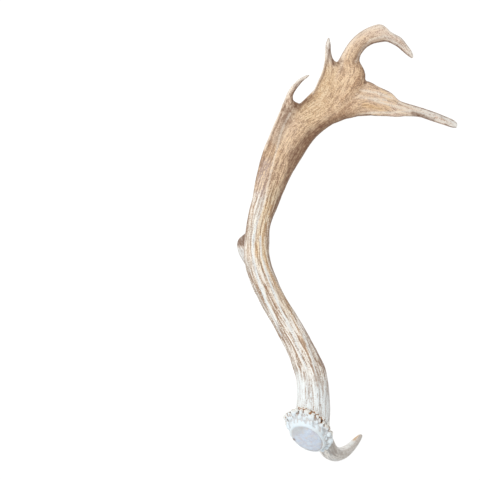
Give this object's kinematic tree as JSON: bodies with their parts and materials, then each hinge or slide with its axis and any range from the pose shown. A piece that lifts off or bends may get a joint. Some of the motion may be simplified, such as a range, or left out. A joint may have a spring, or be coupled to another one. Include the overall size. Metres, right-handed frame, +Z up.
{
  "type": "fallow deer antler",
  "caption": "Cast palmate deer antler with a pearled burr, an S-curved furrowed beam, hooked brow and middle tines, and a flat palm that ends in spurs and two long tines.",
  "frame": {"origin": "middle of the antler's outline seen from above, on the surface that its tine tips rest on", "axes": "+Y from the burr to the palm, along the antler's length; +Z up, out of the side that shows; +X to the side that the end tine points to"},
  "size_m": [0.2656, 0.5252, 0.1013],
  "materials": {
    "antler_bone": "satin bone, ivory at the burr and tips and tan on the palm, with brown furrows"
  },
  "bodies": {
    "root": {"main_beam": "antler_bone", "brow_tine": "antler_bone", "trez_tine": "antler_bone", "palm": "antler_bone", "hooked_tine": "antler_bone", "end_tine": "antler_bone"}
  },
  "joints": []
}
